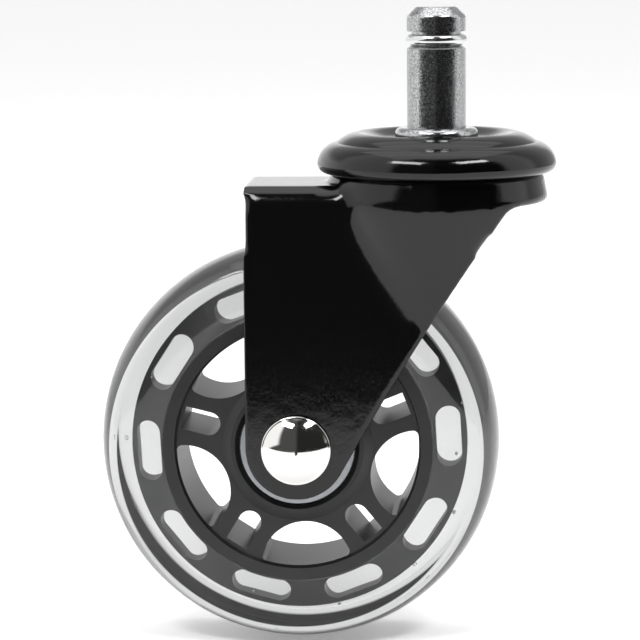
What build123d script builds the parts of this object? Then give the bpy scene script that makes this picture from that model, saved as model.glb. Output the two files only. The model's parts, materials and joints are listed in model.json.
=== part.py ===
from build123d import *
import os
from math import cos, radians, sin, sqrt

os.makedirs("parts", exist_ok=True)

# Chair caster, millimetres.
# The origin is on the stem axis, at the shoulder that meets the chair base. +Z is up the stem,
# the wheel trails towards -X, and the wheel turns about +Y. The right side of the caster is at -Y.

# Stem, turned in one piece with its flange and its king pin
stem_radius = 5.55
stem_length = 22.6
tip_flat_radius = 3.8
tip_bevel_height = 1.7
tip_edge_radius = 0.8
groove_bottom = 15.5
groove_width = 2.5
groove_depth = 0.9
groove_bevel = 0.7
flange_radius = 7.85
flange_thickness = 2.3
flange_edge_radius = 1.3
king_pin_radius = 5.0
rivet_head_radius = 7.4
rivet_head_height = 1.8

# Spring ring in the stem groove
grip_ring_proud = 0.25
grip_ring_height = 1.9
grip_ring_split = 2.4
grip_ring_play = 0.05

# Swivel cap, a pressed cup that holds the upper ball track
cap_radius = 22.55
cap_crest_radius = 14.9
cap_crest_below_shoulder = 0.9
cap_crest_round = 6.5
cap_crease_below_crest = 1.8
cap_shoulder_width = 3.75
cap_shoulder_round = 4.4
cap_shoulder_height = 4.0
cap_lip_inset = 1.65
cap_lip_height = 1.7
cap_lip_round = 1.75
cap_lip_wall = 0.9
cap_dish_width = 1.2
cap_plate_thickness = 2.3

# Swivel ball rows
track_play = 0.10
track_depth = 0.8
upper_ball_radius = 2.38
upper_ball_pitch_radius = 16.0
upper_ball_count = 20
lower_ball_radius = 2.0
lower_ball_pitch_radius = 9.6
lower_ball_count = 14
race_thickness = 2.0
race_rim_width = 1.6
race_rim_gap = 1.0

# Fork, pressed from one sheet
sheet = 2.4
head_below_shoulder = 8.0
head_radius = 20.3
head_edge_radius = 1.8
skirt_radius = 20.9
skirt_bottom_below_head = 5.9
skirt_edge_radius = 1.0
plate_below_head = 2.2
bend_radius = 4.4
bulge_depth = 27.0
leg_end_radius = 9.55
leg_front_reach = 13.8
leg_front_corner = 3.0
leg_front_slope = 60.6
pin_hole_play = 1.0

# Wheel
trail = 26.1
wheel_radius = 38.0
tyre_width = 21.8
tyre_shoulder_radius = 34.0
tyre_gap = 8.9
rim_radius = 25.8
rim_width = 21.0
web_radius = 22.9
web_width = 19.0
flange_rim_radius = 32.0
flange_rim_thickness = 4.4
flange_root_thickness = 13.0
window_count = 10
window_start_angle = 3.0
window_length = 11.6
window_inner_radius = 26.3
window_outer_radius = 30.9

# Spokes of the wheel core
spoke_count = 5
spoke_start_angle = 21.8
hole_lobe_radius = 8.75
hole_lobe_centre = 23.2
hole_corner_radius = 1.0
slot_width = 4.4
slot_inner_radius = 15.1
slot_outer_radius = 22.2
seam_depth = 0.25
seam_width = 0.4
hub_chamfer = 0.8

# Wheel bearings, 608 size
bearing_bore_radius = 4.0
bearing_outer_radius = 11.0
bearing_width = 7.0
bearing_spacing = 7.6
bearing_ball_radius = 1.984
bearing_ball_count = 7
bearing_pitch_radius = 7.5
bearing_play = 0.02
inner_race_radius = 6.0
outer_race_inner_radius = 9.1
race_edge = 0.3
seal_thickness = 0.35
seal_recess = 0.15
seal_play = 0.15
seal_seat_depth = 0.5
cage_thickness = 1.0
cage_width = 5.2
cage_play = 0.1
bearing_stop_depth = 1.8

# Axle and spacers
axle_head_radius = 6.6
axle_head_height = 2.3
axle_head_rim = 0.5
axle_head_edge = 0.45
axle_tail_radius = 6.2
axle_tail_height = 2.0
axle_tail_bore = 2.4
axle_play = 0.05
washer_radius = 6.0
washer_thickness = 0.5

# Heights below the shoulder that follow from the sizes above
cap_seat_z = -flange_thickness
cap_under_z = cap_seat_z - cap_plate_thickness
crest_z = -cap_crest_below_shoulder
crease_z = crest_z - cap_crease_below_crest
cap_widest_z = crease_z - cap_shoulder_height
cap_bottom_z = cap_widest_z - cap_lip_height
head_top_z = -head_below_shoulder
head_under_z = head_top_z - sheet
skirt_bottom_z = head_top_z - skirt_bottom_below_head
plate_top_z = head_top_z - plate_below_head
plate_under_z = plate_top_z - sheet
axle_x = -trail
axle_z = plate_under_z - tyre_gap - wheel_radius

# Widths that follow from the wheel and its bearings
hub_half = bearing_spacing / 2 + bearing_width
leg_inner_half = hub_half + washer_thickness
leg_outer_half = leg_inner_half + sheet

# Ball tracks: each arc is a ball's radius plus its play
upper_track_radius = upper_ball_radius + track_play
lower_track_radius = lower_ball_radius + track_play
upper_ball_z = head_top_z - track_depth + upper_track_radius
lower_ball_z = head_under_z + track_depth - lower_track_radius
race_top_z = lower_ball_z - lower_track_radius + track_depth
race_bottom_z = race_top_z - race_thickness
race_radius = lower_ball_pitch_radius + lower_track_radius + race_rim_width

# Planes and axes of the wheel
wheel_plane = Plane(origin=(axle_x, 0, axle_z), x_dir=(1, 0, 0), z_dir=(0, -1, 0))
wheel_section = Plane(origin=(axle_x, 0, axle_z), x_dir=(0, 0, 1), z_dir=(-1, 0, 0))
wheel_axis = Axis((axle_x, 0, axle_z), (0, 1, 0))
sides = {"right": -1, "left": 1}


def save(piece, name):
    """Label a finished piece and write its STEP file."""
    piece.part.label = name
    export_step(piece.part, f"parts/{name}.step")


# Stem: a plain shaft with a grip-ring groove, a flange below it, and the king pin under that.
# The lower end of the king pin is riveted over the lower race.
groove_radius = stem_radius - groove_depth
groove_top = groove_bottom + groove_width
with BuildPart() as stem:
    with BuildSketch(Plane.XZ):
        Polygon(
            (0, stem_length),
            (tip_flat_radius, stem_length),
            (stem_radius, stem_length - tip_bevel_height),
            (stem_radius, groove_top),
            (groove_radius, groove_top),
            (groove_radius, groove_bottom),
            (stem_radius, groove_bottom - groove_bevel),
            (stem_radius, 0),
            (flange_radius, 0),
            (flange_radius, cap_seat_z),
            (king_pin_radius, cap_seat_z),
            (king_pin_radius, race_bottom_z),
            (rivet_head_radius, race_bottom_z),
            (rivet_head_radius, race_bottom_z - rivet_head_height / 3),
            (king_pin_radius, race_bottom_z - rivet_head_height),
            (0, race_bottom_z - rivet_head_height),
            align=None,
        )
    revolve(axis=Axis.Z)
    tip_edges = stem.edges().filter_by(GeomType.CIRCLE).filter_by_position(
        Axis.Z, stem_length - tip_bevel_height - 0.01, stem_length + 0.01
    )
    fillet(tip_edges, tip_edge_radius)
    flange_edge = stem.edges().filter_by(GeomType.CIRCLE).filter_by_position(
        Axis.Z, -0.01, 0.01
    ).sort_by(SortBy.RADIUS)[-1]
    fillet(flange_edge, flange_edge_radius)
save(stem, "stem")

# Grip ring: a barrel-shaped spring ring, split at the back so that it closes into the groove.
ring_inner_radius = groove_radius + grip_ring_play
ring_outer_radius = stem_radius + grip_ring_proud
ring_bottom = groove_bottom + grip_ring_play
ring_top = ring_bottom + grip_ring_height
ring_middle = (ring_bottom + ring_top) / 2
ring_edge_radius = (ring_inner_radius + ring_outer_radius) / 2
with BuildPart() as grip_ring:
    with BuildSketch(Plane.XZ):
        with BuildLine():
            Polyline(
                (ring_edge_radius, ring_bottom),
                (ring_inner_radius, ring_bottom),
                (ring_inner_radius, ring_top),
                (ring_edge_radius, ring_top),
            )
            ThreePointArc(
                (ring_edge_radius, ring_top),
                (ring_outer_radius, ring_middle),
                (ring_edge_radius, ring_bottom),
            )
        make_face()
    revolve(axis=Axis.Z)
    with BuildSketch(Plane.XZ.offset(-ring_edge_radius)):
        with Locations((0, ring_middle)):
            Rectangle(grip_ring_split, 2 * groove_width)
    extrude(amount=ring_edge_radius / 2, both=True, mode=Mode.SUBTRACT)
save(grip_ring, "grip_ring")

# Swivel cap: a pressed cup. A raised ring over the ball track surrounds the flange, the shoulder
# falls away outside a crease, and the lip curls in at the bottom.
cap_crease_radius = cap_radius - cap_shoulder_width
cap_lip_radius = cap_radius - cap_lip_inset
track_reach = sqrt(upper_track_radius**2 - (cap_under_z - upper_ball_z) ** 2)
cap_wall_inner = cap_lip_radius - cap_lip_wall
track_side_angle = radians(30)
track_side = (
    upper_ball_pitch_radius + upper_track_radius * cos(track_side_angle),
    upper_ball_z + upper_track_radius * sin(track_side_angle),
)
with BuildPart() as swivel_cap:
    with BuildSketch(Plane.XZ):
        with BuildLine():
            Line((king_pin_radius, cap_under_z), (king_pin_radius, cap_seat_z))
            seat = Line(
                (king_pin_radius, cap_seat_z), (flange_radius + cap_dish_width, cap_seat_z)
            )
            Spline(seat @ 1, (cap_crest_radius, crest_z), tangents=((1, 0), (1, 0)))
            ring = RadiusArc(
                (cap_crest_radius, crest_z), (cap_crease_radius, crease_z), cap_crest_round
            )
            shoulder = RadiusArc(ring @ 1, (cap_radius, cap_widest_z), cap_shoulder_round)
            lip = RadiusArc(shoulder @ 1, (cap_lip_radius, cap_bottom_z), cap_lip_round)
            foot = Line(lip @ 1, (cap_wall_inner, cap_bottom_z))
            inner_wall = Line(foot @ 1, (cap_wall_inner, track_side[1]))
            Line(inner_wall @ 1, track_side)
            track = ThreePointArc(
                track_side,
                (upper_ball_pitch_radius, upper_ball_z + upper_track_radius),
                (upper_ball_pitch_radius - track_reach, cap_under_z),
            )
            Line(track @ 1, (king_pin_radius, cap_under_z))
        make_face()
    revolve(axis=Axis.Z)
save(swivel_cap, "swivel_cap")

# Upper and lower swivel balls: loose rows that roll between the cap, the fork head and the race.
with BuildPart(Plane.XY.offset(upper_ball_z)) as upper_balls:
    with PolarLocations(upper_ball_pitch_radius, upper_ball_count):
        Sphere(upper_ball_radius)
save(upper_balls, "upper_balls")

with BuildPart(Plane.XY.offset(lower_ball_z)) as lower_balls:
    with PolarLocations(lower_ball_pitch_radius, lower_ball_count):
        Sphere(lower_ball_radius)
save(lower_balls, "lower_balls")

# Lower race: a pressed cup under the fork head, held up by the riveted king pin.
with BuildPart() as lower_race:
    with BuildSketch(Plane.XZ):
        Polygon(
            (king_pin_radius, race_bottom_z),
            (king_pin_radius, race_top_z),
            (race_radius - race_rim_width, race_top_z),
            (race_radius - race_rim_width, head_under_z - race_rim_gap),
            (race_radius, head_under_z - race_rim_gap),
            (race_radius, race_top_z - race_thickness / 2),
            (race_radius - race_thickness / 2, race_bottom_z),
            align=None,
        )
        with Locations((lower_ball_pitch_radius, lower_ball_z)):
            Circle(lower_track_radius, mode=Mode.SUBTRACT)
    revolve(axis=Axis.Z)
save(lower_race, "lower_race")

# Fork. Seen from the side, a leg is a plate with a straight rear edge, a round end about the
# axle, and a front edge that sweeps up from the round end to a small corner under the skirt.
skirt_x = sqrt(skirt_radius**2 - leg_outer_half**2)
rear_x = axle_x - leg_end_radius
slope = radians(leg_front_slope)
front_tangent = (axle_x + leg_end_radius * sin(slope), axle_z - leg_end_radius * cos(slope))
with BuildSketch(Plane.XZ) as leg_outline:
    with BuildLine():
        Polyline(
            (rear_x, axle_z),
            (rear_x, plate_top_z),
            (skirt_x, plate_top_z),
            (skirt_x, skirt_bottom_z),
            (leg_front_reach, skirt_bottom_z),
        )
        TangentArc(
            front_tangent,
            (leg_front_reach, skirt_bottom_z),
            tangent=(cos(slope), sin(slope)),
        )
        ThreePointArc(
            front_tangent,
            (axle_x, axle_z - leg_end_radius),
            (rear_x, axle_z),
        )
    make_face()
    corner = leg_outline.vertices().sort_by_distance((leg_front_reach, skirt_bottom_z))[0]
    fillet(corner, leg_front_corner)

# The sides of the head bulge out past the legs and taper down into them.
bulge_bottom_z = skirt_bottom_z - bulge_depth
with BuildPart() as bulge:
    with BuildSketch(Plane.XZ):
        with BuildLine():
            Polyline(
                (skirt_radius, skirt_bottom_z),
                (head_radius, head_top_z - head_edge_radius),
                (0, head_top_z - head_edge_radius),
                (0, bulge_bottom_z),
                (leg_outer_half, bulge_bottom_z),
            )
            Spline(
                (leg_outer_half, bulge_bottom_z),
                (skirt_radius, skirt_bottom_z),
                tangents=((0, 1), (0.25, 1)),
            )
        make_face()
    revolve(axis=Axis.Z)
    extrude(leg_outline.sketch, amount=2 * skirt_radius, both=True, mode=Mode.INTERSECT)

with BuildPart() as bulge_hollow:
    with BuildSketch(Plane.XZ):
        with BuildLine():
            Polyline(
                (skirt_radius - sheet, skirt_bottom_z),
                (skirt_radius - sheet, head_under_z),
                (0, head_under_z),
                (0, bulge_bottom_z),
                (leg_inner_half, bulge_bottom_z),
            )
            Spline(
                (leg_inner_half, bulge_bottom_z),
                (skirt_radius - sheet, skirt_bottom_z),
                tangents=((0, 1), (0.25, 1)),
            )
        make_face()
    revolve(axis=Axis.Z)

with BuildPart() as fork:
    extrude(leg_outline.sketch, amount=leg_outer_half, both=True)
    bends = fork.edges().filter_by(Axis.X).filter_by_position(
        Axis.Z, plate_top_z - 0.01, plate_top_z + 0.01
    )
    fillet(bends, bend_radius)
    add(bulge.part)
    with BuildSketch(Plane.XZ):
        with BuildLine():
            Polyline(
                (head_radius, head_top_z - head_edge_radius),
                (skirt_radius, skirt_bottom_z + skirt_edge_radius),
            )
            RadiusArc(
                (skirt_radius, skirt_bottom_z + skirt_edge_radius),
                (skirt_radius - skirt_edge_radius, skirt_bottom_z),
                skirt_edge_radius,
            )
            Polyline(
                (skirt_radius - skirt_edge_radius, skirt_bottom_z),
                (0, skirt_bottom_z),
                (0, head_top_z),
                (head_radius - head_edge_radius, head_top_z),
            )
            RadiusArc(
                (head_radius - head_edge_radius, head_top_z),
                (head_radius, head_top_z - head_edge_radius),
                head_edge_radius,
            )
        make_face()
    revolve(axis=Axis.Z)
    add(bulge_hollow.part, mode=Mode.SUBTRACT)
    with BuildSketch(Plane.YZ.offset(2 * rear_x)):
        with Locations((0, plate_under_z)):
            channel = Rectangle(
                2 * leg_inner_half, plate_under_z - 2 * axle_z, align=(Align.CENTER, Align.MAX)
            )
        fillet(channel.vertices().group_by(Axis.Y)[-1], bend_radius - sheet)
    extrude(amount=-2 * rear_x, mode=Mode.SUBTRACT)
    with BuildSketch(Plane.YZ):
        with Locations((0, skirt_bottom_z)):
            Rectangle(
                2 * leg_inner_half, skirt_bottom_z - 2 * axle_z, align=(Align.CENTER, Align.MAX)
            )
    extrude(amount=2 * skirt_radius, mode=Mode.SUBTRACT)
    with BuildSketch(Plane.XZ):
        with Locations((upper_ball_pitch_radius, upper_ball_z)):
            Circle(upper_track_radius)
    revolve(axis=Axis.Z, mode=Mode.SUBTRACT)
    with BuildSketch(Plane.XZ):
        with Locations((lower_ball_pitch_radius, lower_ball_z)):
            Circle(lower_track_radius)
    revolve(axis=Axis.Z, mode=Mode.SUBTRACT)
    with BuildSketch(Plane.XY):
        Circle(king_pin_radius + pin_hole_play)
    extrude(amount=head_under_z - sheet, mode=Mode.SUBTRACT)
    with BuildSketch(wheel_plane):
        Circle(bearing_bore_radius + axle_play)
    extrude(amount=2 * leg_outer_half, both=True, mode=Mode.SUBTRACT)
save(fork, "fork")

# Axle: a solid rivet with a domed head on the right and a clinched, hollow tail on the left.
dome_edge_radius = axle_head_radius - axle_head_edge
dome_radius = (dome_edge_radius**2 + axle_head_height**2) / (2 * axle_head_height)
rim_face = leg_outer_half + axle_head_rim
dome_start = rim_face + axle_head_edge
with BuildPart() as axle:
    with BuildSketch(wheel_section):
        with BuildLine():
            RadiusArc(
                (0, -dome_start - axle_head_height), (dome_edge_radius, -dome_start), -dome_radius
            )
            RadiusArc((dome_edge_radius, -dome_start), (axle_head_radius, -rim_face), -axle_head_edge)
            Polyline(
                (axle_head_radius, -rim_face),
                (axle_head_radius, -leg_outer_half),
                (bearing_bore_radius, -leg_outer_half),
                (bearing_bore_radius, leg_outer_half),
                (axle_tail_radius, leg_outer_half),
            )
            tail = RadiusArc(
                (axle_tail_radius, leg_outer_half),
                (axle_tail_bore, leg_outer_half + axle_tail_height / 2),
                -(axle_tail_radius - axle_tail_bore) * 0.75,
            )
            Polyline(
                tail @ 1,
                (axle_tail_bore, leg_outer_half - sheet),
                (0, leg_outer_half - sheet),
                (0, -dome_start - axle_head_height),
            )
        make_face()
    revolve(axis=wheel_axis)
save(axle, "axle")

# Bearing spacer: the tube on the axle that keeps the two inner races apart.
with BuildPart() as bearing_spacer:
    with BuildSketch(wheel_plane):
        Circle(inner_race_radius)
        Circle(bearing_bore_radius + axle_play, mode=Mode.SUBTRACT)
    extrude(amount=bearing_spacing / 2, both=True)
save(bearing_spacer, "bearing_spacer")

# Each side of the hub: a spacer washer, and a sealed ball bearing in its own pieces.
seal_seat_radius = outer_race_inner_radius + seal_seat_depth
inner_groove_radius = bearing_ball_radius + bearing_play
for side, sign in sides.items():
    middle = sign * (bearing_spacing + bearing_width) / 2
    outer_face = sign * hub_half
    bearing_plane = wheel_plane.offset(-middle)

    with BuildPart() as washer:
        with BuildSketch(wheel_plane.offset(-outer_face)):
            Circle(washer_radius)
            Circle(bearing_bore_radius + axle_play, mode=Mode.SUBTRACT)
        extrude(amount=-sign * washer_thickness)
    save(washer, f"spacer_washer_{side}")

    with BuildPart() as inner_race:
        with BuildSketch(wheel_section):
            with Locations((0, middle)):
                with Locations(((bearing_bore_radius + inner_race_radius) / 2, 0)):
                    section = Rectangle(inner_race_radius - bearing_bore_radius, bearing_width)
                chamfer(section.vertices(), race_edge)
                with Locations((bearing_pitch_radius, 0)):
                    Circle(inner_groove_radius, mode=Mode.SUBTRACT)
        revolve(axis=wheel_axis)
    save(inner_race, f"inner_race_{side}")

    with BuildPart() as outer_race:
        with BuildSketch(wheel_section):
            with Locations((0, middle)):
                with Locations(((outer_race_inner_radius + bearing_outer_radius) / 2, 0)):
                    section = Rectangle(
                        bearing_outer_radius - outer_race_inner_radius, bearing_width
                    )
                chamfer(section.vertices().group_by(Axis.Z)[-1], race_edge)
                with Locations((bearing_pitch_radius, 0)):
                    Circle(inner_groove_radius, mode=Mode.SUBTRACT)
                seat_depth = seal_recess + seal_thickness
                seat_middle = (bearing_width - seat_depth) / 2
                with Locations((seal_seat_radius / 2, seat_middle), (seal_seat_radius / 2, -seat_middle)):
                    Rectangle(seal_seat_radius, seat_depth, mode=Mode.SUBTRACT)
        revolve(axis=wheel_axis)
    save(outer_race, f"outer_race_{side}")

    for place, way in {"outer": sign, "inner": -sign}.items():
        seal_face = middle + way * (bearing_width / 2 - seal_recess)
        with BuildPart() as seal:
            with BuildSketch(wheel_plane.offset(-seal_face)):
                Circle(seal_seat_radius)
                Circle(inner_race_radius + seal_play, mode=Mode.SUBTRACT)
            extrude(amount=way * seal_thickness)
        save(seal, f"bearing_seal_{side}_{place}")

    with BuildPart(bearing_plane) as bearing_balls:
        with PolarLocations(bearing_pitch_radius, bearing_ball_count):
            Sphere(bearing_ball_radius)
    save(bearing_balls, f"bearing_balls_{side}")

    with BuildPart() as cage:
        with BuildSketch(bearing_plane):
            Circle(bearing_pitch_radius + cage_thickness / 2)
            Circle(bearing_pitch_radius - cage_thickness / 2, mode=Mode.SUBTRACT)
        extrude(amount=cage_width / 2, both=True)
        with Locations(bearing_plane):
            with PolarLocations(bearing_pitch_radius, bearing_ball_count):
                Cylinder(
                    bearing_ball_radius + cage_play,
                    2 * cage_thickness,
                    rotation=(0, 90, 0),
                    mode=Mode.SUBTRACT,
                )
    save(cage, f"ball_cage_{side}")

# Wheel core: a moulded hub, five split spokes and a rim, with a windowed flange that keys the tyre.
web_half = web_width / 2
rim_half = rim_width / 2
flange_half = flange_rim_thickness / 2
flange_root_half = flange_root_thickness / 2
stop_radius = bearing_outer_radius - bearing_stop_depth
with BuildPart() as wheel_core:
    with BuildSketch(wheel_section):
        Polygon(
            (stop_radius, -bearing_spacing / 2),
            (bearing_outer_radius, -bearing_spacing / 2),
            (bearing_outer_radius, -hub_half + hub_chamfer),
            (bearing_outer_radius + hub_chamfer, -hub_half),
            (bearing_outer_radius + 2 * hub_chamfer, -hub_half),
            (bearing_outer_radius + 4 * hub_chamfer, -web_half),
            (web_radius, -web_half),
            (web_radius + hub_chamfer / 2, -rim_half),
            (rim_radius, -rim_half),
            (rim_radius, -flange_root_half),
            (flange_rim_radius, -flange_half),
            (flange_rim_radius, flange_half),
            (rim_radius, flange_root_half),
            (rim_radius, rim_half),
            (web_radius + hub_chamfer / 2, rim_half),
            (web_radius, web_half),
            (bearing_outer_radius + 4 * hub_chamfer, web_half),
            (bearing_outer_radius + 2 * hub_chamfer, hub_half),
            (bearing_outer_radius + hub_chamfer, hub_half),
            (bearing_outer_radius, hub_half - hub_chamfer),
            (bearing_outer_radius, bearing_spacing / 2),
            (stop_radius, bearing_spacing / 2),
            align=None,
        )
    revolve(axis=wheel_axis)

    # Large openings between the spokes, with a mould seam half way through
    hole_start = spoke_start_angle + 180 / spoke_count
    with BuildSketch(wheel_plane) as openings:
        with PolarLocations(hole_lobe_centre, spoke_count, start_angle=hole_start):
            Circle(hole_lobe_radius)
        Circle(web_radius, mode=Mode.INTERSECT)
        fillet(openings.vertices(), hole_corner_radius)
    extrude(amount=hub_half, both=True, mode=Mode.SUBTRACT)
    with BuildSketch(wheel_plane) as opening_seams:
        add(openings.sketch)
        offset(amount=seam_depth)
    extrude(amount=seam_width / 2, both=True, mode=Mode.SUBTRACT)

    # A slot down the middle of each spoke, round at the hub and square at the rim
    slot_nose_radius = slot_inner_radius + slot_width / 2
    slot_length = slot_outer_radius - slot_nose_radius
    with BuildSketch(wheel_plane):
        with PolarLocations(
            slot_nose_radius + slot_length / 2, spoke_count, start_angle=spoke_start_angle
        ):
            Rectangle(slot_length, slot_width)
        with PolarLocations(slot_nose_radius, spoke_count, start_angle=spoke_start_angle):
            Circle(slot_width / 2)
    extrude(amount=hub_half, both=True, mode=Mode.SUBTRACT)

    # Windows in the flange, filled by the tyre
    window_middle = (window_inner_radius + window_outer_radius) / 2
    window_width = window_outer_radius - window_inner_radius
    with BuildSketch(wheel_plane):
        with PolarLocations(window_middle, window_count, start_angle=window_start_angle):
            SlotOverall(window_length, window_width, rotation=90)
    extrude(amount=flange_root_half, both=True, mode=Mode.SUBTRACT)
save(wheel_core, "wheel_core")

# Tyre: cast on to the rim and through the flange windows, with flat sides and an elliptical tread.
with BuildPart() as tyre:
    with BuildSketch(wheel_section):
        with Locations((tyre_shoulder_radius, 0)):
            Ellipse(wheel_radius - tyre_shoulder_radius, tyre_width / 2)
        with Locations((rim_radius, 0)):
            Rectangle(
                wheel_radius, 2 * tyre_width, align=(Align.MIN, Align.CENTER), mode=Mode.INTERSECT
            )
            Rectangle(
                tyre_shoulder_radius - rim_radius, tyre_width, align=(Align.MIN, Align.CENTER)
            )
    revolve(axis=wheel_axis)
    add(wheel_core.part, mode=Mode.SUBTRACT)
save(tyre, "tyre")
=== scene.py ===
import json
import math
import random

import bmesh
import bpy
from mathutils import Euler, Matrix, Vector


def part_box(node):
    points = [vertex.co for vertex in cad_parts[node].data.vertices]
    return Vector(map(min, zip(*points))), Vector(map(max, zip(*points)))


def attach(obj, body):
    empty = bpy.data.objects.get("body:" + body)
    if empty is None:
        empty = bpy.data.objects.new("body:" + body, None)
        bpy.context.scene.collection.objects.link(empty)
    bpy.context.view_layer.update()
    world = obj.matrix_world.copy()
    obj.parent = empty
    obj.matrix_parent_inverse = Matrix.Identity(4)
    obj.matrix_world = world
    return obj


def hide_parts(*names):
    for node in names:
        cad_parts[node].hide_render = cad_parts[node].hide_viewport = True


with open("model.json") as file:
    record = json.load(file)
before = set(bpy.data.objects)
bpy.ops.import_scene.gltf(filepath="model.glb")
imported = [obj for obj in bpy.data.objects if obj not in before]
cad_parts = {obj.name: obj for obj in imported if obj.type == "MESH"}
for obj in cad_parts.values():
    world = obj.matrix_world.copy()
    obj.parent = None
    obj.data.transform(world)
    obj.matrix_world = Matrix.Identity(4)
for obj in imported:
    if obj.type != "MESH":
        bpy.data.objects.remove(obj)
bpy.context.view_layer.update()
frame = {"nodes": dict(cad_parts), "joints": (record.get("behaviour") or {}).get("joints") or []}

nodes = frame["nodes"]
joints = {joint["name"]: joint for joint in frame["joints"]}
axle_centre = Vector(joints["wheel_spin"]["pos_m"])

# Camera and studio. A long lens looks at the caster's right side from a little above, and the
# caster rests on a pale table whose front edge lies between it and the camera. The room is light
# behind and above and dark behind the camera, so that black enamel stays black from the front.
camera_azimuth = math.radians(3.83)
camera_elevation = math.radians(8.06)
camera_roll = math.radians(-0.48)
camera_distance = 0.58
camera_lens = 171.2
film_width = 36.0
nearest_seen = 0.01
camera_target = Vector((-0.0223, 0.0, -0.0368))
table_front = 0.26
table_side = 3.0
table_back = 8.0


def linear(code, alpha=1.0):
    """Turn an sRGB hex colour into the linear values that a shader reads."""
    channels = [int(code[i : i + 2], 16) / 255 for i in (0, 2, 4)]
    return [c / 12.92 if c <= 0.04045 else ((c + 0.055) / 1.055) ** 2.4 for c in channels] + [alpha]


def add_node(tree, kind, inputs=(), **settings):
    """Add a shader node, with its settings, its socket values and its links."""
    node = tree.nodes.new("ShaderNode" + kind)
    for name, value in settings.items():
        setattr(node, name, value)
    for name, value in dict(inputs).items():
        if isinstance(value, bpy.types.NodeSocket):
            tree.links.new(value, node.inputs[name])
        else:
            node.inputs[name].default_value = value
    return node


def new_material(name):
    """Start a material with only its output, and return it with its node tree and output."""
    material = bpy.data.materials.new(name)
    material.use_nodes = True
    tree = material.node_tree
    tree.nodes.clear()
    return material, tree, add_node(tree, "OutputMaterial")


camera = bpy.data.objects.new("camera", bpy.data.cameras.new("camera"))
camera.data.lens = camera_lens
camera.data.sensor_width = film_width
camera.data.clip_start = nearest_seen
turn = Euler((math.pi / 2 - camera_elevation, 0.0, camera_azimuth)).to_matrix()
turn = turn @ Matrix.Rotation(camera_roll, 3, "Z")
camera.matrix_world = Matrix.Translation(camera_target + turn.col[2] * camera_distance) @ turn.to_4x4()
bpy.context.scene.collection.objects.link(camera)
bpy.context.scene.camera = camera
bpy.context.scene.view_settings.view_transform = "Standard"

bpy.ops.object.select_all(action="DESELECT")
table_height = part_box("tyre")[0].z
bpy.ops.mesh.primitive_plane_add(size=1.0, location=(0, 0, table_height))
table = bpy.context.object
table.name = "table"
bpy.ops.object.mode_set(mode="EDIT")
bpy.ops.transform.resize(value=(2 * table_side, table_front + table_back, 1.0))
bpy.ops.transform.translate(value=(0, (table_back - table_front) / 2, 0))
bpy.ops.object.mode_set(mode="OBJECT")
white_laminate, tree, output = new_material("white_laminate")
surface = add_node(tree, "BsdfPrincipled", {
    "Base Color": linear("F8F8F8"), "Roughness": 0.65, "Specular IOR Level": 0.2,
    "Emission Color": linear("FFFFFF"), "Emission Strength": 0.22,
})
tree.links.new(surface.outputs["BSDF"], output.inputs["Surface"])
table.data.materials.append(white_laminate)

# The room: light walls all round and a light ceiling, with a dark zone behind the camera that is wide
# below eye level, narrower above it, and wider to the right. The wall behind the caster is dimmer
# high up and to the right, and the camera itself sees plain white behind the table.
dark_half_angle_low = math.radians(68)
dark_half_angle_high = math.radians(38)
dark_extra_right = 0.5
room_strength = 1.25
world = bpy.data.worlds.new("room")
world.use_nodes = True
bpy.context.scene.world = world
tree = world.node_tree
tree.nodes.clear()
direction = add_node(tree, "TexCoord").outputs["Generated"]
parts = add_node(tree, "SeparateXYZ", {"Vector": direction})
forward = add_node(tree, "Math", {0: parts.outputs["Y"], 1: -1.0}, operation="MULTIPLY")
bearing = add_node(tree, "Math", {
    0: parts.outputs["X"], 1: forward.outputs["Value"],
}, operation="ARCTAN2")
away = add_node(tree, "Math", {0: bearing.outputs["Value"]}, operation="ABSOLUTE")
dark_edge = add_node(tree, "MapRange", {
    "Value": parts.outputs["Z"], "From Min": -0.1, "From Max": 0.12,
    "To Min": dark_half_angle_low, "To Max": dark_half_angle_high,
})
to_the_right = add_node(tree, "MapRange", {
    "Value": bearing.outputs["Value"], "From Min": -0.1, "From Max": 0.1,
    "To Min": 0.0, "To Max": dark_extra_right,
})
wide_edge = add_node(tree, "Math", {
    0: dark_edge.outputs["Result"], 1: to_the_right.outputs["Result"],
}, operation="ADD")
past_edge = add_node(tree, "Math", {
    0: away.outputs["Value"], 1: wide_edge.outputs["Value"],
}, operation="SUBTRACT")
light_wall = add_node(tree, "MapRange", {
    "Value": past_edge.outputs["Value"], "From Min": 0.0, "From Max": 0.2,
}, interpolation_type="SMOOTHSTEP")
overhead = add_node(tree, "MapRange", {
    "Value": parts.outputs["Z"], "From Min": 0.90, "From Max": 0.99,
}, interpolation_type="SMOOTHSTEP")
lit = add_node(tree, "Math", {
    0: light_wall.outputs["Result"], 1: overhead.outputs["Result"],
}, operation="MAXIMUM")
right_back = add_node(tree, "MapRange", {
    "Value": parts.outputs["X"], "From Min": 0.18, "From Max": 0.36,
}, interpolation_type="SMOOTHSTEP")
upper_back = add_node(tree, "MapRange", {
    "Value": parts.outputs["Z"], "From Min": 0.22, "From Max": 0.42,
}, interpolation_type="SMOOTHSTEP")
dim_back = add_node(tree, "Math", {
    0: right_back.outputs["Result"], 1: upper_back.outputs["Result"],
}, operation="MAXIMUM")
at_back = add_node(tree, "MapRange", {
    "Value": parts.outputs["Y"], "From Min": 0.25, "From Max": 0.45,
}, interpolation_type="SMOOTHSTEP")
dim_wall = add_node(tree, "Math", {
    0: dim_back.outputs["Value"], 1: at_back.outputs["Result"],
}, operation="MULTIPLY")
back_light = add_node(tree, "Mix", {
    0: dim_wall.outputs["Value"], 6: linear("FFFFFF"), 7: linear("B8B8B8"),
}, data_type="RGBA")
towards_right = add_node(tree, "MapRange", {
    "Value": bearing.outputs["Value"], "From Min": -0.10, "From Max": 0.10,
}, interpolation_type="SMOOTHSTEP")
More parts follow.
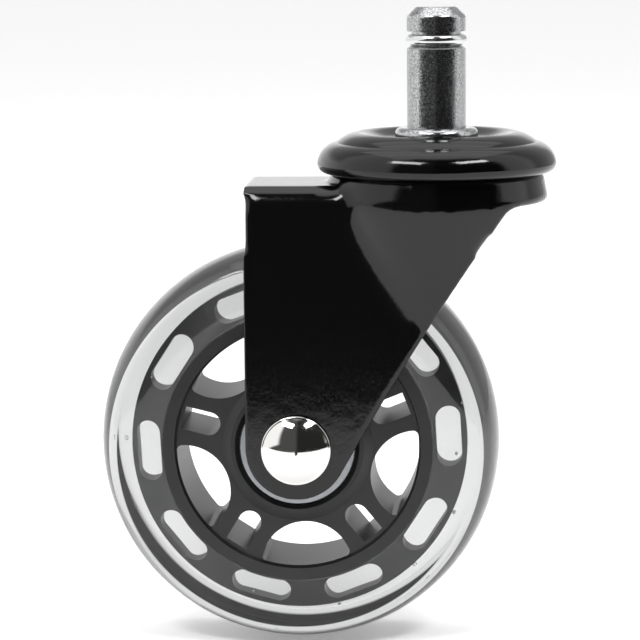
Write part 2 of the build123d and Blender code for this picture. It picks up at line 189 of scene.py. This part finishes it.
dark_light = add_node(tree, "Mix", {
    0: towards_right.outputs["Result"], 6: linear("4A4A4A"), 7: linear("262626"),
}, data_type="RGBA")
room_light = add_node(tree, "Mix", {
    0: lit.outputs["Value"], 6: dark_light.outputs[2], 7: back_light.outputs[2],
}, data_type="RGBA")
seen = add_node(tree, "LightPath").outputs["Is Camera Ray"]
room_colour = add_node(tree, "Mix", {
    0: seen, 6: room_light.outputs[2], 7: linear("FBFBFB"),
}, data_type="RGBA")
background = add_node(tree, "Background", {"Color": room_colour.outputs[2], "Strength": room_strength})
tree.links.new(background.outputs["Background"], add_node(tree, "OutputWorld").inputs["Surface"])


def soft_box(name, azimuth, elevation, distance, width, height, power):
    """Stand a rectangular soft box at an angle round the caster, facing it."""
    light = bpy.data.objects.new(name, bpy.data.lights.new(name, "AREA"))
    light.data.shape = "RECTANGLE"
    light.data.size = width
    light.data.size_y = height
    light.data.energy = power
    facing = Euler((math.pi / 2 - math.radians(elevation), 0.0, math.radians(azimuth))).to_matrix()
    light.matrix_world = Matrix.Translation(camera_target + facing.col[2] * distance) @ facing.to_4x4()
    bpy.context.scene.collection.objects.link(light)


soft_box("left_soft_box", -34, 52, 0.9, 0.40, 0.16, 3.2)
soft_box("right_soft_box", 48, 52, 0.9, 0.40, 0.14, 3.4)
soft_box("top_soft_box", 180, 78, 1.2, 1.2, 1.2, 3.0)

# Stem: turned from bar in one piece with its flange, then zinc plated in a barrel, which leaves
# the plate bright but finely mottled by the crystals and by knocks against other pieces.
zinc_mottle = 0.35
zinc_mottle_scale = 1000 / zinc_mottle
zinc_plated_steel, tree, output = new_material("zinc_plated_steel")
# Zinc plate: a bright grey metal whose fine mottling breaks up each reflection.
position = add_node(tree, "TexCoord").outputs["Object"]
mottle = add_node(tree, "TexNoise", {
    "Vector": position, "Scale": zinc_mottle_scale, "Detail": 4.0, "Roughness": 0.7,
})
shade = add_node(tree, "ValToRGB", {"Fac": mottle.outputs["Fac"]})
shade.color_ramp.elements[0].position = 0.35
shade.color_ramp.elements[0].color = linear("7C7E80")
shade.color_ramp.elements[1].position = 0.68
shade.color_ramp.elements[1].color = linear("D2D3D3")
polish = add_node(tree, "MapRange", {
    "Value": mottle.outputs["Fac"], "From Min": 0.3, "From Max": 0.7, "To Min": 0.10, "To Max": 0.24,
})
pitting = add_node(tree, "Bump", {"Height": mottle.outputs["Fac"], "Strength": 0.25, "Distance": 0.00006})
surface = add_node(tree, "BsdfPrincipled", {
    "Base Color": shade.outputs["Color"], "Metallic": 1.0,
    "Roughness": polish.outputs["Result"], "Normal": pitting.outputs["Normal"],
})
tree.links.new(surface.outputs["BSDF"], output.inputs["Surface"])


def finish_node(name, material):
    """Give a CAD node its material."""
    nodes[name].data.materials.clear()
    nodes[name].data.materials.append(material)


finish_node("stem", zinc_plated_steel)

# Grip ring: a ring of spring wire sprung into the stem groove, with a bright zinc plate.
bright_spring_steel, tree, output = new_material("bright_spring_steel")
# Drawn and plated wire is smoother than the turned stem, so its highlights are crisp lines.
position = add_node(tree, "TexCoord").outputs["Object"]
drawn = add_node(tree, "TexNoise", {"Vector": position, "Scale": 1500.0, "Detail": 2.0})
polish = add_node(tree, "MapRange", {"Value": drawn.outputs["Fac"], "To Min": 0.10, "To Max": 0.26})
surface = add_node(tree, "BsdfPrincipled", {
    "Base Color": linear("CFD0D0"), "Metallic": 1.0, "Roughness": polish.outputs["Result"],
})
tree.links.new(surface.outputs["BSDF"], output.inputs["Surface"])
finish_node("grip_ring", bright_spring_steel)

# Swivel cap: a cup pressed from sheet, dipped in gloss black enamel and baked.
black_enamel, tree, output = new_material("black_enamel")
# Baked enamel: deep black under a clear gloss whose slight orange peel bends each reflection.
position = add_node(tree, "TexCoord").outputs["Object"]
orange_peel = add_node(tree, "TexNoise", {"Vector": position, "Scale": 350.0, "Detail": 2.0})
dust = add_node(tree, "TexNoise", {"Vector": position, "Scale": 2200.0, "Detail": 3.0, "Roughness": 0.8})
grain = add_node(tree, "Math", {0: dust.outputs["Fac"], 1: 0.15}, operation="MULTIPLY")
height = add_node(tree, "Math", {0: orange_peel.outputs["Fac"], 1: grain.outputs["Value"]}, operation="ADD")
skin = add_node(tree, "Bump", {"Height": height.outputs["Value"], "Strength": 0.12, "Distance": 0.0002})
polish = add_node(tree, "MapRange", {
    "Value": dust.outputs["Fac"], "From Min": 0.35, "From Max": 0.75, "To Min": 0.05, "To Max": 0.18,
})
surface = add_node(tree, "BsdfPrincipled", {
    "Base Color": linear("040404"), "Roughness": polish.outputs["Result"],
    "Specular IOR Level": 0.4, "Normal": skin.outputs["Normal"],
})
tree.links.new(surface.outputs["BSDF"], output.inputs["Surface"])
finish_node("swivel_cap", black_enamel)

# Fork: pressed and folded from one sheet of steel, then enamelled with the cap. The press leaves
# the round head flowing into the legs, and the enamel rounds every sheared edge.
sheet_edge_voxel = 0.0004
coincident = 0.000005
enamel_passes = 3
press_passes = 70
flow_start = Vector((-0.0225, 0.0095, -0.0400))
flow_end = Vector((-0.0040, 0.0300, -0.0085))
skirt_flow_reach = 0.0105
skirt_flow_low = -0.0230
skirt_flow_high = -0.0115
bpy.ops.object.select_all(action="DESELECT")
pressed_fork = nodes["fork"].copy()
pressed_fork.data = nodes["fork"].data.copy()
pressed_fork.name = "pressed_fork"
pressed_fork.parent = None
bpy.context.scene.collection.objects.link(pressed_fork)
pressed_fork.select_set(True)
bpy.context.view_layer.objects.active = pressed_fork
bpy.ops.object.mode_set(mode="EDIT")
bpy.ops.mesh.select_all(action="SELECT")
bpy.ops.mesh.remove_doubles(threshold=coincident)
bpy.ops.object.mode_set(mode="OBJECT")
remesh = pressed_fork.modifiers.new("press", "REMESH")
remesh.mode = "VOXEL"
remesh.voxel_size = sheet_edge_voxel
bpy.ops.object.modifier_apply(modifier=remesh.name)
bpy.ops.object.mode_set(mode="EDIT")
bpy.ops.mesh.select_all(action="SELECT")
bpy.ops.mesh.vertices_smooth(factor=0.5, repeat=enamel_passes)
bpy.ops.mesh.select_all(action="DESELECT")
skin_mesh = bmesh.from_edit_mesh(pressed_fork.data)
for vertex in skin_mesh.verts:
    place = vertex.co
    beside_head = flow_start.x < place.x < flow_end.x and flow_start.z < place.z < flow_end.z
    under_skirt = place.x < skirt_flow_reach and skirt_flow_low < place.z < skirt_flow_high
    out_at_side = flow_start.y < abs(place.y) < flow_end.y
    vertex.select = out_at_side and (beside_head or under_skirt)
skin_mesh.select_flush_mode()
bpy.ops.mesh.vertices_smooth(factor=0.5, repeat=press_passes)
bpy.ops.object.mode_set(mode="OBJECT")
bpy.ops.object.shade_smooth()
pressed_fork.data.materials.clear()
pressed_fork.data.materials.append(black_enamel)
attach(pressed_fork, "fork")
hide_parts("fork")

# Swivel works: a hardened race and two rows of ground balls, oiled, inside the fork head.
hardened_steel, tree, output = new_material("hardened_steel")
# Oil-blacked pressed steel: dull and dark, with the faint blotches of the quench.
position = add_node(tree, "TexCoord").outputs["Object"]
quench = add_node(tree, "TexNoise", {"Vector": position, "Scale": 260.0, "Detail": 3.0})
shade = add_node(tree, "ValToRGB", {"Fac": quench.outputs["Fac"]})
shade.color_ramp.elements[0].color = linear("3A3B3D")
shade.color_ramp.elements[1].color = linear("6C6D70")
surface = add_node(tree, "BsdfPrincipled", {
    "Base Color": shade.outputs["Color"], "Metallic": 1.0, "Roughness": 0.38,
})
tree.links.new(surface.outputs["BSDF"], output.inputs["Surface"])
for name in ("lower_race", "ball_cage_right", "ball_cage_left"):
    finish_node(name, hardened_steel)

ground_bearing_steel, tree, output = new_material("ground_bearing_steel")
# Ground chrome steel: a bright surface with the fine lay of the grinding wheel.
position = add_node(tree, "TexCoord").outputs["Object"]
ground = add_node(tree, "TexNoise", {"Vector": position, "Scale": 900.0, "Detail": 3.0})
polish = add_node(tree, "MapRange", {"Value": ground.outputs["Fac"], "To Min": 0.14, "To Max": 0.32})
surface = add_node(tree, "BsdfPrincipled", {
    "Base Color": linear("8E9093"), "Metallic": 1.0, "Roughness": polish.outputs["Result"],
})
tree.links.new(surface.outputs["BSDF"], output.inputs["Surface"])
for name in (
    "upper_balls", "lower_balls", "bearing_balls_right", "bearing_balls_left", "inner_race_right",
    "inner_race_left", "outer_race_right", "outer_race_left", "bearing_spacer",
    "spacer_washer_right", "spacer_washer_left",
):
    finish_node(name, ground_bearing_steel)

nitrile_rubber, tree, output = new_material("nitrile_rubber")
# Moulded nitrile: a soft black that keeps a little sheen of grease.
position = add_node(tree, "TexCoord").outputs["Object"]
bloom = add_node(tree, "TexNoise", {"Vector": position, "Scale": 1100.0, "Detail": 3.0})
polish = add_node(tree, "MapRange", {"Value": bloom.outputs["Fac"], "To Min": 0.45, "To Max": 0.7})
surface = add_node(tree, "BsdfPrincipled", {
    "Base Color": linear("151515"), "Roughness": polish.outputs["Result"],
})
tree.links.new(surface.outputs["BSDF"], output.inputs["Surface"])
for side in ("right", "left"):
    for place in ("outer", "inner"):
        finish_node(f"bearing_seal_{side}_{place}", nitrile_rubber)

# Axle: a solid rivet, turned, polished and nickel plated, with its far end clinched.
polished_nickel, tree, output = new_material("polished_nickel")
# Bright nickel: a mirror with a faint warm grey and a few hairline handling marks.
position = add_node(tree, "TexCoord").outputs["Object"]
handling = add_node(tree, "TexNoise", {"Vector": position, "Scale": 700.0, "Detail": 6.0, "Roughness": 0.8})
polish = add_node(tree, "MapRange", {
    "Value": handling.outputs["Fac"], "From Min": 0.4, "From Max": 0.8, "To Min": 0.03, "To Max": 0.16,
})
surface = add_node(tree, "BsdfPrincipled", {
    "Base Color": linear("DEDDDA"), "Metallic": 1.0, "Roughness": polish.outputs["Result"],
})
tree.links.new(surface.outputs["BSDF"], output.inputs["Surface"])
finish_node("axle", polished_nickel)

# Wheel core: glass-filled nylon moulded in one shot, hub, spokes, rim and windowed flange.
moulded_nylon, tree, output = new_material("moulded_nylon")
# Moulded nylon: satin charcoal whose gloss varies finely, with a soft glow where light grazes it.
position = add_node(tree, "TexCoord").outputs["Object"]
mould_grain = add_node(tree, "TexNoise", {
    "Vector": position, "Scale": 2400.0, "Detail": 3.0, "Roughness": 0.7,
})
flow = add_node(tree, "TexNoise", {"Vector": position, "Scale": 160.0, "Detail": 3.0})
shade = add_node(tree, "ValToRGB", {"Fac": flow.outputs["Fac"]})
shade.color_ramp.elements[0].position = 0.3
shade.color_ramp.elements[0].color = linear("141415")
shade.color_ramp.elements[1].position = 0.75
shade.color_ramp.elements[1].color = linear("1C1C1D")
polish = add_node(tree, "MapRange", {"Value": mould_grain.outputs["Fac"], "To Min": 0.35, "To Max": 0.41})
surface = add_node(tree, "BsdfPrincipled", {
    "Base Color": shade.outputs["Color"], "Roughness": polish.outputs["Result"],
    "Sheen Weight": 0.08, "Sheen Roughness": 0.35, "Sheen Tint": linear("D0D0D0"),
})
tree.links.new(surface.outputs["BSDF"], output.inputs["Surface"])
finish_node("wheel_core", moulded_nylon)

# Tyre: clear smoke-grey polyurethane, cast on to the rim and through the windows of the flange,
# so that the flange shows inside it. Its bore is bonded to the rim.
rim_radius = 0.0258
bond_depth = 0.0003
side_crown = 0.035
tread_segments = 96
tyre_steps = 240
section_join = 0.00001
crease_angle = math.radians(40)
tyre_low, tyre_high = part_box("tyre")
tyre_radius = (tyre_high.z - tyre_low.z) / 2
tyre_half_width = (tyre_high.y - tyre_low.y) / 2
shoulder_radius = 0.034
clear_polyurethane, tree, output = new_material("clear_smoke_polyurethane")
# Cast polyurethane: clear and glossy, with a grey dye that deepens with the thickness.
gloss = add_node(tree, "BsdfPrincipled", {
    "Base Color": linear("FFFFFF"), "Roughness": 0.02, "IOR": 1.49, "Transmission Weight": 1.0,
})
dye = add_node(tree, "VolumeAbsorption", {"Color": linear("A6A7A8"), "Density": 45.0})
tree.links.new(gloss.outputs["BSDF"], output.inputs["Surface"])
tree.links.new(dye.outputs["Volume"], output.inputs["Volume"])

bpy.ops.object.select_all(action="DESELECT")
bpy.ops.mesh.primitive_circle_add(
    vertices=tread_segments, radius=1.0, rotation=(0, math.pi / 2, 0),
    location=axle_centre + Vector((0, 0, shoulder_radius)),
)
clear_tyre = bpy.context.object
clear_tyre.name = "clear_tyre"
bpy.ops.object.transform_apply(location=True, rotation=True, scale=True)
bpy.ops.object.mode_set(mode="EDIT")
bpy.ops.mesh.select_all(action="SELECT")
bpy.ops.transform.resize(
    value=(1.0, tyre_half_width, tyre_radius - shoulder_radius),
    center_override=axle_centre + Vector((0, 0, shoulder_radius)),
)
bpy.ops.mesh.bisect(
    plane_co=axle_centre + Vector((0, 0, shoulder_radius)), plane_no=(0, 0, 1), clear_inner=True,
)


def select_loose_ends(piece):
    """Select the two ends of an open edge chain."""
    bpy.ops.mesh.select_all(action="DESELECT")
    section = bmesh.from_edit_mesh(piece.data)
    for vertex in section.verts:
        vertex.select = len(vertex.link_edges) == 1
    section.select_flush_mode()


side_steps = 6
side_step = (rim_radius - bond_depth - shoulder_radius) / side_steps
for step in range(side_steps):
    drawn_in = 1 - side_crown * (2 * step + 1) / side_steps**2
    select_loose_ends(clear_tyre)
    bpy.ops.mesh.extrude_vertices_move(TRANSFORM_OT_translate={"value": (0, 0, side_step)})
    bpy.ops.transform.resize(value=(1.0, drawn_in, 1.0), center_override=axle_centre)
select_loose_ends(clear_tyre)
bpy.ops.mesh.edge_face_add()
bpy.ops.mesh.select_all(action="SELECT")
bpy.ops.mesh.spin(steps=tyre_steps, angle=2 * math.pi, center=axle_centre, axis=(0, 1, 0))
bpy.ops.mesh.select_all(action="SELECT")
bpy.ops.mesh.remove_doubles(threshold=section_join)
bpy.ops.mesh.normals_make_consistent(inside=False)
bpy.ops.object.mode_set(mode="OBJECT")
bpy.ops.object.shade_smooth_by_angle(angle=crease_angle)
clear_tyre.data.materials.append(clear_polyurethane)
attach(clear_tyre, "wheel")
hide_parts("tyre")

# Air bubbles: small voids that stayed in the polyurethane when it was poured, scattered in front of
# and behind the flange. Each is a little longer than it is wide.
air_in_polyurethane, tree, output = new_material("air_in_polyurethane")
# Air seen from inside the plastic: its index is that of air over that of polyurethane.
position = add_node(tree, "TexCoord").outputs["Object"]
ripple = add_node(tree, "TexNoise", {"Vector": position, "Scale": 3000.0})
polish = add_node(tree, "MapRange", {"Value": ripple.outputs["Fac"], "To Min": 0.0, "To Max": 0.04})
void = add_node(tree, "BsdfPrincipled", {
    "Base Color": linear("FFFFFF"), "Roughness": polish.outputs["Result"],
    "IOR": 0.671, "Transmission Weight": 1.0,
})
tree.links.new(void.outputs["BSDF"], output.inputs["Surface"])
bubble_count = 16
bubble_length = 1.35
bubble_draw = random.Random(7)
bpy.ops.object.select_all(action="DESELECT")
bubbles = []
for number in range(bubble_count):
    angle = 2 * math.pi * (number + bubble_draw.uniform(-0.4, 0.4)) / bubble_count
    reach = bubble_draw.uniform(0.0292, 0.0345)
    depth = bubble_draw.choice((-1, 1)) * bubble_draw.uniform(0.0055, 0.0075)
    size = bubble_draw.uniform(0.00016, 0.00034)
    centre = axle_centre + Vector((reach * math.cos(angle), depth, reach * math.sin(angle)))
    bpy.ops.mesh.primitive_ico_sphere_add(subdivisions=3, radius=size, location=centre)
    bubble = bpy.context.object
    bpy.ops.object.transform_apply(location=True, rotation=True, scale=True)
    bpy.ops.object.mode_set(mode="EDIT")
    bpy.ops.transform.resize(
        value=(1.0, bubble_draw.uniform(0.7, 1.0), bubble_length), center_override=centre,
    )
    bpy.ops.transform.rotate(value=angle, orient_axis="Y", center_override=centre)
    bpy.ops.object.mode_set(mode="OBJECT")
    bpy.ops.object.shade_smooth()
    bubbles.append(bubble)
bpy.ops.object.select_all(action="DESELECT")
for bubble in bubbles:
    bubble.select_set(True)
bpy.context.view_layer.objects.active = bubbles[0]
bpy.ops.object.join()
air_bubbles = bpy.context.object
air_bubbles.name = "air_bubbles"
bpy.ops.object.transform_apply(location=True, rotation=True, scale=True)
air_bubbles.data.materials.append(air_in_polyurethane)
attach(air_bubbles, "wheel")
